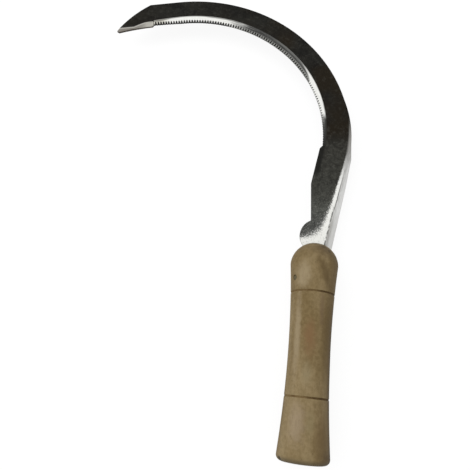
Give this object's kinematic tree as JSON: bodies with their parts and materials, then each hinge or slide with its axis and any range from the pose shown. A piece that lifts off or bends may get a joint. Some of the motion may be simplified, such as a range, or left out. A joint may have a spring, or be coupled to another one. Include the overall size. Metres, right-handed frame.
{
  "type": "serrated sickle",
  "caption": "Hooked harvest sickle with a toothed inner edge, a folded neck and a turned wooden handle; cuts grass and grain stems by hand.",
  "frame": {"origin": "centre of the handle's flat butt face", "axes": "+Y runs along the handle's axis from the butt to the blade; +Z is square to the blade's flat face, on the side of the ground bevel; the hook opens towards -X and curls over in -X; the middle of the steel sheet lies in z = 0"},
  "size_m": [0.1919, 0.3391, 0.0332],
  "materials": {
    "steel": "dark rolling skin on the flat faces, bare bright metal on the ground edge and at the foot of the neck",
    "wood": "turned, oiled and worn, with fine lengthwise grain",
    "nail": "dull dark iron"
  },
  "bodies": {
    "root": {"blade": "steel", "handle": "wood", "lock_nail": "nail"}
  },
  "joints": []
}
